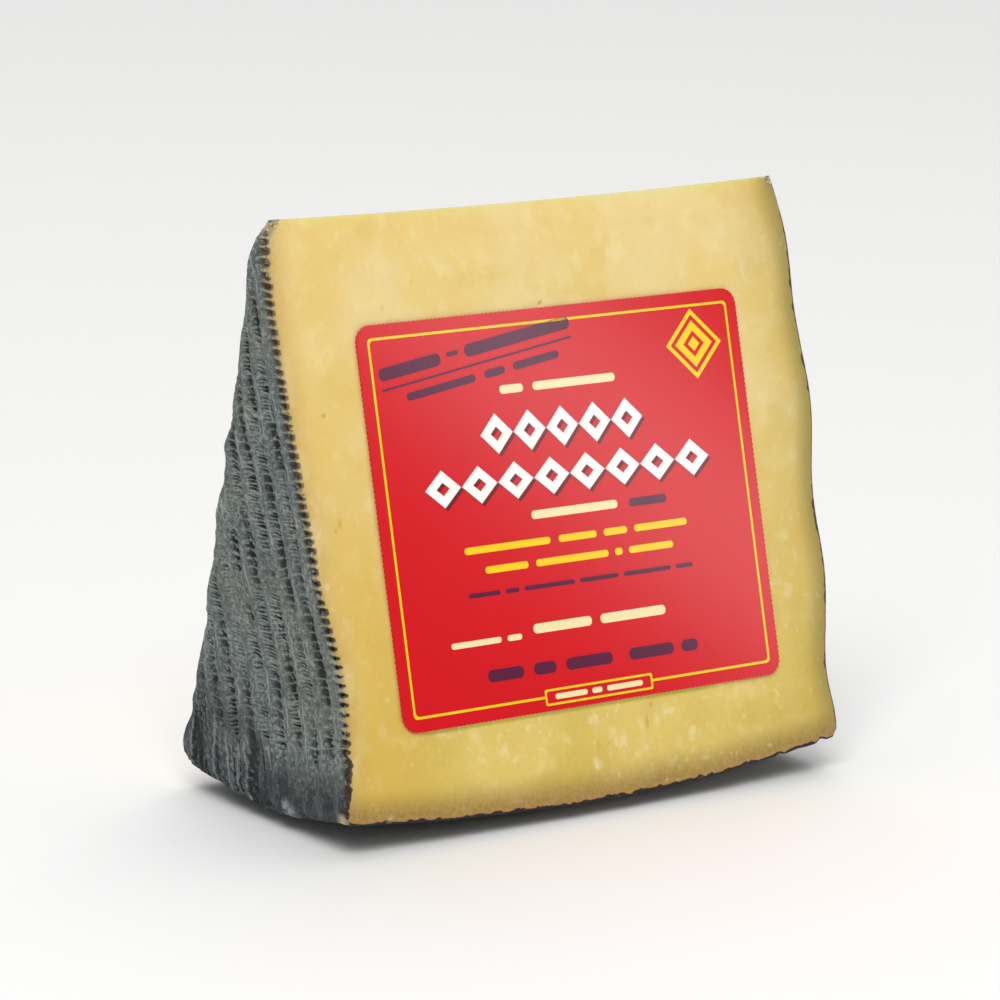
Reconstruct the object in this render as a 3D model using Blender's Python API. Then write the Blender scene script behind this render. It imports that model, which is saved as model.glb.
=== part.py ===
"""A wedge of aged manchego, a twelfth of a small wheel, with a paper label on its front cut.

The wedge stands on the wheel's curved side, its sharp edge up, and the wheel's axis runs along X.
The two knife cuts lean together to that top edge. Rind covers the other three sides: the two
ends, printed with the ribs of a press cloth, and the underside, printed by a plaited belt.
Metres, +Z up. The origin is on the floor, in the middle of the wedge's box.
"""

import math
from dataclasses import dataclass

import bmesh
import bpy
from mathutils import Vector

# The wheel, and the sector cut from it
WHEEL_RADIUS = 0.0790  # at the rims, where the ends meet the side
SECTOR_ANGLE = math.radians(29.7)
HEIGHT_AT_CENTRE = 0.0862  # from end to end, at the wheel's axis
HEIGHT_AT_RIM = 0.0828
SIDE_CROWN = 0.0025  # how far the side swells out midway between the rims
RIM_BEVEL = 0.0005  # taken off each rim, both along X and off the side
HEEL = 0.0012  # how far the underside hangs lower than round at the back cut
HEEL_CURVE = 1.5
FLAT_SPOT_DEPTH = 0.0006  # pressed off the underside where the wedge stands

# How the cuts are worn. Shares are of the way from the top edge down to the rim.
EDGE_SAG = 0.0003  # of the top edge, in its middle
EDGE_SAG_SHARE = 0.2  # where it has faded out
SHOULDER_WIDTH = 0.0065  # the front cut rolls back towards the right end and the underside
SHOULDER_DEPTH = 0.0011
SHOULDER_SHARE = 0.25  # where the roll beside the right end has grown to its full depth


@dataclass(frozen=True)
class End:
    """The form of one end, from the top edge down to the rim. Lengths are outward, along X."""

    reach: float  # beyond the wheel's mean height
    worn: float  # rubbed off beside the top edge
    wear_length: float
    swell: float  # in the upper part, at the back cut
    fade: float  # the share of the swell that is lost from the back cut to the front one
    turn: float  # the share at which the swell gives way to the hollow
    hollow: float  # at the front cut
    ripple: float


LEFT_END = End(
    reach=0.0,
    worn=0.0007,
    wear_length=0.0024,
    swell=0.0011,
    fade=0.1,
    turn=0.56,
    hollow=0.0016,
    ripple=0.0,
)
RIGHT_END = End(
    reach=0.0014,
    worn=0.0021,
    wear_length=0.0240,
    swell=0.0019,
    fade=0.45,
    turn=0.78,
    hollow=0.0004,
    ripple=0.0005,
)
SWELL_RISE = 0.7  # under 1, so that the swell is fullest near the top edge
HOLLOW_FADE = 0.65  # lost from the front cut to the back one
RIPPLE_LENGTH = 0.0240
RIPPLE_SHARE = 0.33  # where the ripple starts outward

# The print of the press cloth on the ends, whose ribs run parallel to the front cut
RIB_SAMPLES = (-0.00085, -0.00035, 0.0)  # pit, slope and crest, a column each
RIB_FADING_BAND = 0.0100  # along the rim, where the cloth only creased
RIB_FADED = 0.35

# The print of the plaited belt on the underside: strands that slant to and fro
PLAIT_BAND = 0.0140
STRAND_PITCH = 0.0046
STRAND_RELIEF = 0.0005

# The lattice that the wedge's surface is made on
ROWS = 34  # from the top edge down to a rim, and as many columns along the rim
SLICES = 48  # from the left end to the right one
ARC_SPREAD = 5  # how sharply the lattice's rows bend to the rim's arc near it
COPLANAR_ANGLE = math.radians(0.2)
SHARP_ANGLE = math.radians(60)

# The label
LABEL_WIDTH = 0.0638
LABEL_HEIGHT = 0.0535
LABEL_CORNER = 0.0023
LABEL_THICKNESS = 0.0003
LABEL_GAP = 0.0003
LABEL_OFFSET = 0.0005  # its middle, right of the wheel's mid height
LABEL_DOWN = 0.0415  # its middle, down the cut from the top edge
CORNER_STEPS = 6

PASTE_COLOUR = (0.78, 0.58, 0.24, 1.0)
RIND_COLOUR = (0.13, 0.14, 0.14, 1.0)
LABEL_COLOUR = (0.68, 0.02, 0.03, 1.0)
PASTE_ROUGHNESS = 0.45
RIND_ROUGHNESS = 0.75
LABEL_ROUGHNESS = 0.35
PASTE, RIND = 0, 1  # the wedge's material slots

HALF_ANGLE = SECTOR_ANGLE / 2
CUT_DEPTH = WHEEL_RADIUS * math.cos(HALF_ANGLE)  # of a rim's corner below the top edge
CUT_REACH = WHEEL_RADIUS * math.sin(HALF_ANGLE)  # of a rim's corner out from the middle
TOP = WHEEL_RADIUS + SIDE_CROWN - FLAT_SPOT_DEPTH  # where the planes of the two cuts meet


def clear_scene():
    for obj in list(bpy.data.objects):
        bpy.data.objects.remove(obj)


def material(name, colour, roughness):
    """A non-metallic Principled material."""
    made = bpy.data.materials.new(name)
    made.use_nodes = True
    shader = made.node_tree.nodes["Principled BSDF"]
    shader.inputs["Base Color"].default_value = colour
    shader.inputs["Roughness"].default_value = roughness
    shader.inputs["Metallic"].default_value = 0.0
    return made


def ease(value):
    """From 0 to 1 with level ends, held there beyond them."""
    value = min(1.0, max(0.0, value))
    return value * value * (3 - 2 * value)


def shoulder(distance):
    """How far the front cut rolls back at this distance from the edge it rolls towards."""
    return SHOULDER_DEPTH * max(0.0, 1 - distance / SHOULDER_WIDTH) ** 2


def rib_relief(row, column):
    """The press cloth's print: one rib every few columns, faint beside the rim."""
    from_rim = (1 - row / ROWS) * WHEEL_RADIUS
    strength = RIB_FADED + (1 - RIB_FADED) * ease(from_rim / RIB_FADING_BAND)
    return strength * RIB_SAMPLES[column % len(RIB_SAMPLES)]


def end_distance(end, row, column):
    """From the wheel's mid height to an end, along X. Columns count from the front cut."""
    share = row / ROWS
    behind = column / row if row else 0.0
    distance = (HEIGHT_AT_CENTRE + (HEIGHT_AT_RIM - HEIGHT_AT_CENTRE) * share) / 2 + end.reach
    distance -= end.worn * (1 - ease(share * WHEEL_RADIUS / end.wear_length))
    swell = end.swell * math.sin(math.pi * min(1.0, share / end.turn) ** SWELL_RISE)
    distance += swell * (1 - end.fade * (1 - behind))
    hollow = end.hollow * math.sin(math.pi * ease((share - end.turn) / (1 - end.turn)))
    distance -= hollow * (1 - HOLLOW_FADE * behind)
    distance += end.ripple * math.sin(math.tau * (share - RIPPLE_SHARE) * WHEEL_RADIUS / RIPPLE_LENGTH)
    if row == ROWS:
        distance -= RIM_BEVEL
    return distance + rib_relief(row, column)


def plait_relief(x, y):
    """The plaited belt's print: strands across each band, with the next band's turned back."""
    within = abs((x / PLAIT_BAND) % 2 - 1) * PLAIT_BAND
    phase = (within + y) / (STRAND_PITCH * math.sqrt(2))
    return STRAND_RELIEF * (abs(math.sin(math.pi * phase)) - 1)


def place(row, column, slice_):
    """The point of the wedge's surface at this place of the lattice."""
    share = row / ROWS
    across = 2 * column / row - 1 if row else 0.0
    left = -end_distance(LEFT_END, row, column)
    right = end_distance(RIGHT_END, row, column)
    x = left + (right - left) * slice_ / SLICES
    y = across * share * CUT_REACH
    along = 1 - (2 * x / HEIGHT_AT_RIM) ** 2
    sag = EDGE_SAG * max(0.0, along) * (1 - ease(share / EDGE_SAG_SHARE))

    chord = math.hypot(CUT_DEPTH, across * CUT_REACH)
    side = WHEEL_RADIUS + SIDE_CROWN * along + HEEL * max(0.0, across) ** HEEL_CURVE
    if row == ROWS:
        side += plait_relief(x, y)
        side -= RIM_BEVEL if slice_ in (0, SLICES) else 0.0
    stretch = 1 + (side / chord - 1) * share**ARC_SPREAD

    rolled = shoulder(right - x) * ease(share / SHOULDER_SHARE) + shoulder((1 - share) * WHEEL_RADIUS)
    height = TOP - sag - share * CUT_DEPTH * stretch
    return Vector((x, y * stretch + rolled * max(0.0, -across), max(0.0, height)))


def on_surface(row, column, slice_):
    return slice_ in (0, SLICES) or column in (0, row) or row == ROWS


def wedge_mesh():
    """A three-sided prism on a lattice whose every point is set by place()."""
    mesh = bmesh.new()
    points = {
        (row, column, slice_): mesh.verts.new(place(row, column, slice_))
        for row in range(ROWS + 1)
        for column in range(row + 1)
        for slice_ in range(SLICES + 1)
        if on_surface(row, column, slice_)
    }

    def face(slot, *keys):
        mesh.faces.new([points[key] for key in keys]).material_index = slot

    def strip(slot, first, second):
        """A strip of faces from end to end, between two (row, column) lines."""
        for step in range(SLICES):
            face(slot, (*first, step), (*second, step), (*second, step + 1), (*first, step + 1))

    for row in range(ROWS):
        strip(PASTE, (row, 0), (row + 1, 0))
        strip(PASTE, (row, row), (row + 1, row + 1))
        strip(RIND, (ROWS, row), (ROWS, row + 1))
        for end in (0, SLICES):
            for column in range(row + 1):
                face(RIND, (row, column, end), (row + 1, column, end), (row + 1, column + 1, end))
            for column in range(row):
                face(RIND, (row, column, end), (row + 1, column + 1, end), (row, column + 1, end))
    return mesh


def add_object(name, mesh, *materials):
    """An object of this name from a bmesh, which is used up."""
    data = bpy.data.meshes.new(name)
    mesh.to_mesh(data)
    mesh.free()
    for used in materials:
        data.materials.append(used)
    made = bpy.data.objects.new(name, data)
    bpy.context.collection.objects.link(made)
    return made


def add_wedge(paste, rind):
    mesh = wedge_mesh()
    bmesh.ops.recalc_face_normals(mesh, faces=mesh.faces)
    bmesh.ops.dissolve_limit(
        mesh, angle_limit=COPLANAR_ANGLE, verts=mesh.verts, edges=mesh.edges, delimit={"MATERIAL"}
    )
    bmesh.ops.triangulate(mesh, faces=mesh.faces)
    wedge = add_object("cheese_wedge", mesh, paste, rind)
    wedge.data.shade_smooth()
    wedge.data.set_sharp_from_angle(angle=SHARP_ANGLE)
    return wedge


def rounded_rectangle(width, height, corner):
    """Its outline in the XY plane, anticlockwise from the right side's upper end."""
    outline = []
    for quarter, (side, end) in enumerate(((1, 1), (-1, 1), (-1, -1), (1, -1))):
        for step in range(CORNER_STEPS + 1):
            angle = math.pi / 2 * (quarter + step / CORNER_STEPS)
            x = side * (width / 2 - corner) + corner * math.cos(angle)
            y = end * (height / 2 - corner) + corner * math.sin(angle)
            outline.append((x, y))
    return outline


def add_label(paper):
    """The label: a stiff sheet held just clear of the front cut, and parallel to it."""
    mesh = bmesh.new()
    outline = rounded_rectangle(LABEL_WIDTH, LABEL_HEIGHT, LABEL_CORNER)
    sheet = mesh.faces.new([mesh.verts.new((x, y, 0.0)) for x, y in outline])
    thickened = bmesh.ops.extrude_face_region(mesh, geom=[sheet])["geom"]
    raised = [item for item in thickened if isinstance(item, bmesh.types.BMVert)]
    bmesh.ops.translate(mesh, verts=raised, vec=(0.0, 0.0, LABEL_THICKNESS))
    bmesh.ops.recalc_face_normals(mesh, faces=mesh.faces)
    label = add_object("label", mesh, paper)
    down = Vector((0.0, -math.sin(HALF_ANGLE), -math.cos(HALF_ANGLE)))
    outward = Vector((0.0, -math.cos(HALF_ANGLE), math.sin(HALF_ANGLE)))
    label.location = Vector((LABEL_OFFSET, 0.0, TOP)) + down * LABEL_DOWN + outward * LABEL_GAP
    label.rotation_euler = (math.pi / 2 - HALF_ANGLE, 0.0, 0.0)
    return label


def centre(wedge, label):
    """Move both so that the wedge's box is centred over the origin."""
    points = [vertex.co for vertex in wedge.data.vertices]
    for axis in (0, 1):
        middle = (min(p[axis] for p in points) + max(p[axis] for p in points)) / 2
        wedge.location[axis] -= middle
        label.location[axis] -= middle


def main():
    clear_scene()
    paste = material("paste", PASTE_COLOUR, PASTE_ROUGHNESS)
    rind = material("rind", RIND_COLOUR, RIND_ROUGHNESS)
    paper = material("label_paper", LABEL_COLOUR, LABEL_ROUGHNESS)
    centre(add_wedge(paste, rind), add_label(paper))


main()
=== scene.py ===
"""The looks of a wedge of aged manchego: cut paste, cloth-printed rind and a paper label.

The wedge is built round one line, the wheel's axis, where its two knife cuts meet at the top.
A place on its surface is given by three numbers: the share of the way from that top edge down to
the rim, how far behind the front cut it is (a share too, or a length), and x along the axis.
All lengths are metres.
"""

import functools
import math

import bmesh
import bpy
import numpy as np
from mathutils import Matrix, Vector


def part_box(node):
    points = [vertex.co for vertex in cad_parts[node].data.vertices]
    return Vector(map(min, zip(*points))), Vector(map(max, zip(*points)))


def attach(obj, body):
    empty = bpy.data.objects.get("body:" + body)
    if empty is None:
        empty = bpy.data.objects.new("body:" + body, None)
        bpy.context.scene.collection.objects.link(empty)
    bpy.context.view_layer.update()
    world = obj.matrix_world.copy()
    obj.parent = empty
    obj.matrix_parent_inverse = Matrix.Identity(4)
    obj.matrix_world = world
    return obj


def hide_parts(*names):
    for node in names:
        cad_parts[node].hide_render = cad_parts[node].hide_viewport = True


MM = 0.001

# The wheel and the sector cut from it
WHEEL_RADIUS = 79 * MM
HALF_ANGLE = math.radians(29.7) / 2
HEIGHT_AT_CENTRE = 86.2 * MM
HEIGHT_AT_RIM = 82.8 * MM
SIDE_CROWN = 2.5 * MM  # how much the wheel's side bulges midway between its ends
RIM_BEVEL = 0.5 * MM
RIM_BEVEL_WIDTH = 1.2 * MM
CRISP = 0.7  # how much less of that the left end has at the front cut
BACK_WEAR = 1 * MM  # of the ends, along the back cut
BACK_WEAR_REACH = 3.5 * MM
CORNER_WEAR = 0.7 * MM  # and where that meets the rim
CORNER_REACH = 2.8 * MM
HEEL = 1.2 * MM  # how much further out the rim is at the back cut
HEEL_CURVE = 1.5
EDGE_SAG = 0.5 * MM  # of the top edge, midway
EDGE_SAG_SHARE = 0.2
SHOULDER_WIDTH = 6.5 * MM
SHOULDER_DEPTH = 1.1 * MM  # how far the front cut rolls back at its right end and at the rim
SHOULDER_SHARE = 0.25
SWELL_RISE = 0.7
HOLLOW_FADE = 0.65  # how much less hollow the ends are at the back cut
RIPPLE_LENGTH = 24 * MM
RIPPLE_SHARE = 0.33
ARC_SPREAD = 5  # the higher, the nearer to the rim its curve is felt
CUT_DEPTH = WHEEL_RADIUS * math.cos(HALF_ANGLE)
CUT_REACH = WHEEL_RADIUS * math.sin(HALF_ANGLE)

# The ends: each swells above its turn and is hollow below it, as shares of the way to the rim
LEFT, RIGHT = -1, 1
ENDS = {
    LEFT: dict(reach=0, worn=0.7 * MM, wear_length=2.4 * MM, swell=1.1 * MM, fade=0.1, turn=0.56,
               hollow=1.6 * MM, ripple=0, knob=0.9 * MM, seed=100),
    RIGHT: dict(reach=1.4 * MM, worn=2.1 * MM, wear_length=24 * MM, swell=1.9 * MM, fade=0.45, turn=0.78,
                hollow=0.4 * MM, ripple=0.5 * MM, knob=0, seed=500),
}
KNOB_SHARE = 0.075
KNOB_SPREAD = 0.05

# The press cloth's print on the ends, in mm
RIB_PITCH = 2 * CUT_REACH / MM * 3 / 34
RUNG_PITCH = 1.25
RUNG_SLANT = 0.18
RUNG_BOW = 0.16
PIT_DEPTH = 0.9
# From one rib to the next: places, and how deep the floor of the channel and its cells are there
CHANNEL_AT = (0, 0.12, 0.26, 0.42, 0.56, 0.68, 0.82, 0.91, 1)
CHANNEL_FLOOR = (1, 1, 0.95, 0.8, 0.45, 0, 0, 0.6, 1)
CHANNEL_NOTCH = (1, 0.95, 0.6, 0.12, 0, 0, 0, 0.45, 1)
CELLS_END = 6.5  # above the rim, where the cells have given way to long creases
CELLS_FADE = 3.2

# The belt's print on the underside
PLAIT_BAND = 14 * MM
STRAND_PITCH = 4.6 * MM
STRAND_RELIEF = 0.5 * MM
TUCK = 0.4 * MM  # how much the underside draws in just behind the cuts
DENTS = ((31, 8, 0.4), (39.2, 0.8, 0.55), (31.4, 0.5, 0.3), (17, 0.6, 0.3))  # x, reach, depth, mm

# The mesh
ROWS = 632  # from the top edge to the rim, on the rinds and beside them
COLUMN_STEP = 0.19 * MM
BASE_STEP = 0.35 * MM
INSET_DEPTH = 2.2 * MM  # how far in the hidden sides of the pieces start
INSET_END = 1.6 * MM
SHELL_GAP = 0.1 * MM
RELIEF_SPREAD = 4 * MM  # how far a border's print is felt by the mesh beside it
TINY = 1e-9

# Where a cut's columns of points stand, as parts of the way across it: close together at its borders
CUT_LENGTH = 83  # mm, in round figures
BORDER = np.array((0, 0.15, 0.32, 0.52, 0.76, 1.05, 1.4, 1.8, 2.25)) / CUT_LENGTH
MIDDLE = np.linspace(2.8, CUT_LENGTH - 2.8, 150) / CUT_LENGTH
CUT_PARTS = np.concatenate((BORDER, MIDDLE, 1 - BORDER[::-1]))

# The label
LABEL_WIDTH = 63.8 * MM
LABEL_HEIGHT = 53.5 * MM
LABEL_CORNER = 2.3 * MM
LABEL_OFFSET = 0.5 * MM
LABEL_DOWN = 41.5 * MM
LABEL_MIDDLE_OUT = 0.45 * MM  # the middle of the label's plate, out from the cut's plane
DOWN = np.array((0, -math.sin(HALF_ANGLE), -math.cos(HALF_ANGLE)))
OUT = np.array((0, -math.cos(HALF_ANGLE), math.sin(HALF_ANGLE)))

# The camera, and the point that the lights are aimed at
CAMERA_AZIMUTH = math.radians(-37.3)
CAMERA_ELEVATION = math.radians(12.6)
CAMERA_ROLL = math.radians(1.83)
CAMERA_DISTANCE = 675.7 * MM
CAMERA_TARGET_HEIGHT = 41.5 * MM
CAMERA_ASIDE = np.array((-2.94, -2.02)) * MM
LIT_POINT = Vector((0, 0, 40 * MM))


def ease(value):
    value = np.clip(value, 0, 1)
    return value * value * (3 - 2 * value)


@functools.cache
def table_of(seed):
    return np.random.default_rng(seed).uniform(-1, 1, (256, 256))


def noise(seed, across, down):
    """Smooth random values from -1 to 1, with one bump to each unit of either coordinate."""
    table = table_of(seed)
    column, row = np.floor(across).astype(int), np.floor(down).astype(int)
    u, v = ease(across - column), ease(down - row)
    left = table[column % 256, row % 256] * (1 - v) + table[column % 256, (row + 1) % 256] * v
    right = table[(column + 1) % 256, row % 256] * (1 - v) + table[(column + 1) % 256, (row + 1) % 256] * v
    return left * (1 - u) + right * u


def layered(seed, across, down, layers=3):
    """Noise with finer and fainter noise laid on it."""
    total = sum(noise(seed + k, across * 2**k, down * 2**k) / 2**k for k in range(layers))
    return total / sum(0.5**k for k in range(layers))


def bubbles(seed, across, down):
    """Distance from the nearest of many scattered points, one to each unit square."""
    rng = np.random.default_rng(seed)
    jitter = rng.uniform(0.15, 0.85, (128, 128, 2))
    column, row = np.floor(across).astype(int), np.floor(down).astype(int)
    nearest = np.full(across.shape, 9.0)
    for i in (-1, 0, 1):
        for j in (-1, 0, 1):
            offset = jitter[(column + i) % 128, (row + j) % 128]
            away = np.hypot(column + i + offset[..., 0] - across, row + j + offset[..., 1] - down)
            nearest = np.minimum(nearest, away)
    return nearest


def ring(distance, radius, width):
    return np.exp(-(((distance - radius) / width) ** 2))


def smooth_end(side, share, behind):
    """From the wheel's mid height to an end, without the cloth's print."""
    end = ENDS[side]
    distance = (HEIGHT_AT_CENTRE + (HEIGHT_AT_RIM - HEIGHT_AT_CENTRE) * share) / 2 + end["reach"]
    distance = distance - end["worn"] * (1 - ease(share * WHEEL_RADIUS / end["wear_length"]))
    swell = end["swell"] * np.sin(np.pi * np.minimum(1, share / end["turn"]) ** SWELL_RISE)
    distance = distance + swell * (1 - end["fade"] * (1 - behind))
    hollow = end["hollow"] * np.sin(np.pi * ease((share - end["turn"]) / (1 - end["turn"])))
    distance = distance - hollow * (1 - HOLLOW_FADE * behind)
    ripple = end["ripple"] * np.sin(math.tau * (share - RIPPLE_SHARE) * WHEEL_RADIUS / RIPPLE_LENGTH)
    distance = distance + ripple + end["knob"] * behind * ring(share, KNOB_SHARE, KNOB_SPREAD)
    from_back = share * 2 * CUT_REACH * (1 - behind)
    uneven = layered(end["seed"] + 90, share * WHEEL_RADIUS / (4 * MM), from_back / (5 * MM), 2)
    uneven = 0.35 + 0.65 * uneven
    distance = distance - BACK_WEAR * uneven * ease(1 - from_back / BACK_WEAR_REACH) * ease(share / 0.25)
    from_corner = np.hypot((1 - share) * WHEEL_RADIUS, from_back)
    distance = distance - CORNER_WEAR * ease(1 - from_corner / CORNER_REACH)
    return distance - rim_bevel(side, behind) * ease(1 - (1 - share) * WHEEL_RADIUS / RIM_BEVEL_WIDTH)


def rim_bevel(side, behind):
    """How much the edge between an end and the underside is rounded off. One corner is crisp."""
    return RIM_BEVEL * (1 - CRISP * ease(1 - 5 * behind) * (side == LEFT))


def cloth_print(side, share, behind):
    """The press cloth's print: relief out from the smooth end, how much is pit, and how much pale.

    In here, lengths are in mm.
    """
    seed = ENDS[side]["seed"]
    along = share * WHEEL_RADIUS / MM
    back = share * behind * 2 * CUT_REACH / MM
    from_rim = WHEEL_RADIUS / MM - along
    from_back = share * 2 * CUT_REACH / MM - back
    inside = ease(back / 3)

    def bumps(salt, wide, tall, layers=1):
        return layered(seed + salt, back / wide, along / tall, layers)

    fine = bumps(2, 1.1, 1.1, 3)
    rib = back / RIB_PITCH + inside * (0.15 * bumps(0, 9, 7, 3) + 0.05 * fine)
    number = np.floor(rib + 0.25)
    own = number * 7.37  # each channel draws from its own part of the noise
    within = rib % 1
    bow = (((within + 0.18) % 1 - 0.43) / 0.43) ** 2
    rung = (along - RUNG_SLANT * back - RUNG_BOW * np.minimum(bow, 1)) / RUNG_PITCH
    rung = rung + 0.4 * bumps(5, 4, 4)
    border = 1 - ease(back / 2.4)
    rung = rung + 0.12 * (1 - 0.6 * border) * bumps(6, 0.9, 0.9)

    cell = noise(seed + 10, own, np.floor(rung) * 0.83)
    patch = layered(seed + 14, own * 0.13 + back / 6, along / 6)
    shallow = np.clip(0.65 + 0.8 * patch + 0.25 * border, 0.15, 1)
    deep = np.clip(0.65 + 0.6 * patch + 0.6 * cell + 0.3 * border, 0.05, 1.1)
    deep = deep * (1 - 0.2 * ring(share, 0.62, 0.16))
    across_cell = np.abs(2 * (rung % 1) - 1)
    cell_form = 1 - 0.85 * across_cell ** (3 + 1.5 * noise(seed + 20, own, np.floor(rung) * 1.37))
    hatching = ease(0.55 + 1.8 * noise(seed + 22, own * 0.4, along / 6))
    hatching = hatching * ease(back / 3 - 0.6)
    hatch = 0.5 + 0.5 * np.cos(math.tau * (2.5 * rung + 0.3 * back))
    cell_form = cell_form * (1 - 0.6 * hatching * hatch)
    channel = 0.48 * np.interp(within, CHANNEL_AT, CHANNEL_FLOOR) * shallow
    channel = channel + 0.58 * np.interp(within, CHANNEL_AT, CHANNEL_NOTCH) * deep
    size = 1 - 0.4 * ease((share - 0.68) / 0.05) * ease((0.86 - share) / 0.05) + 0.15 * cell
    oval = np.hypot(across_cell / 0.88, (back - 0.4) / 1.3) / size
    oval = (1 - ease((oval - 0.6) / 0.4)) * np.clip(0.85 + 0.3 * cell, 0.6, 1)
    pit = np.where(number == 0, np.maximum(0.45 * channel * cell_form * size**3, oval), channel * cell_form)
    pit = pit * (0.5 + 0.5 * ease(back / 0.4))

    waver = 0.35 * noise(seed + 70, back / 4, 0 * back)
    fading = ease(1 - (from_rim - CELLS_END) / CELLS_FADE + waver)
    folds = layered(seed + 84, back / 1.2 + 0.3 * fine, along / 20, 2)
    hidden = ease((share * behind - 0.3) / 0.3)
    creased = 0.15 + 0.85 * hidden
    crease = ring(folds, -0.25, 0.18) * creased
    lips = ring(folds, 0.06, 0.08) * (0.3 + 0.7 * creased)
    seam = ring(back, 0.5 + 0.3 * fine, 0.5) * (0.6 + 0.9 * bumps(75, 0.45, 0.5))
    seam = seam * ease(from_rim - 0.6)
    low_pit = 0.3 * channel + 0.85 * crease + 0.15 * folds + 0.8 * seam
    pit = pit + (low_pit - pit) * fading
    pit = pit * (1 - 0.8 * ease(1 - from_back / 1.1)) * ease((along + 0.8) / 2.4)

    lumps = bumps(30, 0.8, 0.65, 3)
    lumpy = (1 - ease((shallow - 0.15) / 0.4)) * (1 - fading)
    rings = ring(bubbles(seed + 40, back / 1.1, along / 1.1), 0.17, 0.07)
    rings = rings * ease(3 * bumps(41, 5, 5) + 0.5)
    threads = np.zeros(back.shape)
    for k, slope in enumerate((0.5, -0.7, 1.6)):
        aslant, straight = back + slope * along, along - slope * back
        at = layered(seed + 50 + k, aslant / 7, straight / 12, 2)
        lit = ease(3 * bumps(55 + k, 5, 5) - 0.5) * (1 - fading)
        threads = np.maximum(threads, ring(at, 0.1, 0.014) * lit)
    edges = ring(within, 0.64, 0.035) + ring(within, 0.85, 0.03)
    edges = edges * ease(0.6 + 1.2 * noise(seed + 62, own, along / 3)) * (1 - 0.5 * fading)
    rungs = np.maximum(across_cell**12, 0.7 * hatching * hatch**3) * ease(4 * channel) * (1 - fading)
    fibres = bumps(60, 0.4, 4) * (1 - ease(3 * channel))
    pit = pit * (1 - 0.6 * rings) * (1 - 0.8 * threads)

    texture = (0.12 + 0.14 * lumpy) * lumps + 0.06 * fibres + 0.09 * rings + 0.09 * threads + 0.07 * edges
    texture = texture * (0.3 + 0.7 * ease(from_back / 1.2))
    if side == RIGHT:
        plain = 1 - ease(back / 3.2)
        pit = pit + (0.9 - pit) * plain
        texture = texture * (1 - 0.7 * plain)
        rungs = rungs * (1 - plain)
    relief = MM * (texture - PIT_DEPTH * pit)
    blobs = lumpy * ease(1.6 * lumps - 0.1)
    # Pale marks, painted paler by the rind material: partly fibres of the cloth, partly painted highlights
    # on rungs, rib edges, lips and bubble rings.
    pale = (rungs, 0.7 * threads, 0.8 * rings, 0.8 * edges, 0.9 * lips * fading, 0.6 * blobs)
    pale = np.maximum.reduce(pale)
    return relief, np.clip(pit, 0, 1), np.clip(pale, 0, 1)


def belt_print(x, y):
    """The plaited belt's print on the underside, inward from the wheel's side."""
    within = np.abs((x / PLAIT_BAND) % 2 - 1) * PLAIT_BAND
    phase = (within + y) / (STRAND_PITCH * math.sqrt(2))
    strands = STRAND_RELIEF * (np.abs(np.sin(np.pi * phase)) - 1)
    fibres = noise(900, phase * 7, (within - y) / (4 * MM))
    lumps = layered(910, x / (2.5 * MM), y / (2.5 * MM))
    inward = CUT_REACH - np.abs(y)
    near_cut = ease(1 - inward / (14 * MM))
    ragged = 0.24 * MM * layered(930, x / (5 * MM), y / (20 * MM), 3) * near_cut
    for at, reach, depth in DENTS:
        ragged = ragged - depth * MM * np.exp(-(((x / MM - at) / reach) ** 2)) * near_cut * (y < 0)
    tuck = TUCK * ease(inward / (2.5 * MM)) * ease(2 - inward / (8 * MM))
    plain = ease(1.2 - inward / (10 * MM))
    rough = (0.05 * fibres + 0.16 * lumps) * MM
    return strands * (1 - 0.85 * plain) + rough * (1 - 0.7 * plain) + ragged - tuck


def place(share, behind, x):
    """Points of the wedge's surface, each (3), from the middle of the top edge."""
    across = 2 * behind - 1
    y = across * share * CUT_REACH
    along = 1 - (2 * x / HEIGHT_AT_RIM) ** 2
    sag = EDGE_SAG * np.maximum(0, along) * (1 - ease(share / EDGE_SAG_SHARE))
    chord = np.hypot(CUT_DEPTH, across * CUT_REACH)
    right = smooth_end(RIGHT, share, behind)
    from_end = np.minimum(right - x, smooth_end(LEFT, share, behind) + x)
    side = WHEEL_RADIUS + SIDE_CROWN * along + HEEL * np.maximum(0, across) ** HEEL_CURVE
    bevel = rim_bevel(np.where(x < 0, LEFT, RIGHT), behind)
    side = side + belt_print(x, across * CUT_REACH) - bevel * ease(1 - from_end / RIM_BEVEL_WIDTH)
    stretch = 1 + (side / chord - 1) * share**ARC_SPREAD
    rolled = shoulder(right - x) * ease(share / SHOULDER_SHARE) + shoulder((1 - share) * WHEEL_RADIUS)
    z = np.maximum(-APEX[2], -sag - share * CUT_DEPTH * stretch)
    return np.stack((x, y * stretch + rolled * np.maximum(0, -across), z), -1)


def shoulder(distance):
    return SHOULDER_DEPTH * np.clip(1 - distance / SHOULDER_WIDTH, 0, 1) ** 2


def line_ends(share, behind):
    """x of both ends of lines across the wedge, and how far the print moves each end."""
    left, right = -smooth_end(LEFT, share, behind), smooth_end(RIGHT, share, behind)
    return left, right, -cloth_print(LEFT, share, behind)[0], cloth_print(RIGHT, share, behind)[0]


def across_x(ends, part):
    """x at a part of the way from the left end to the right one."""
    left, right, left_moved, right_moved = ends
    x = left + (right - left) * part
    near_left = np.clip(1 - (x - left) / RELIEF_SPREAD, 0, 1) ** 2
    near_right = np.clip(1 - (right - x) / RELIEF_SPREAD, 0, 1) ** 2
    return x + left_moved * near_left + right_moved * near_right


def even(count):
    return np.linspace(0, 1, count)


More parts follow.
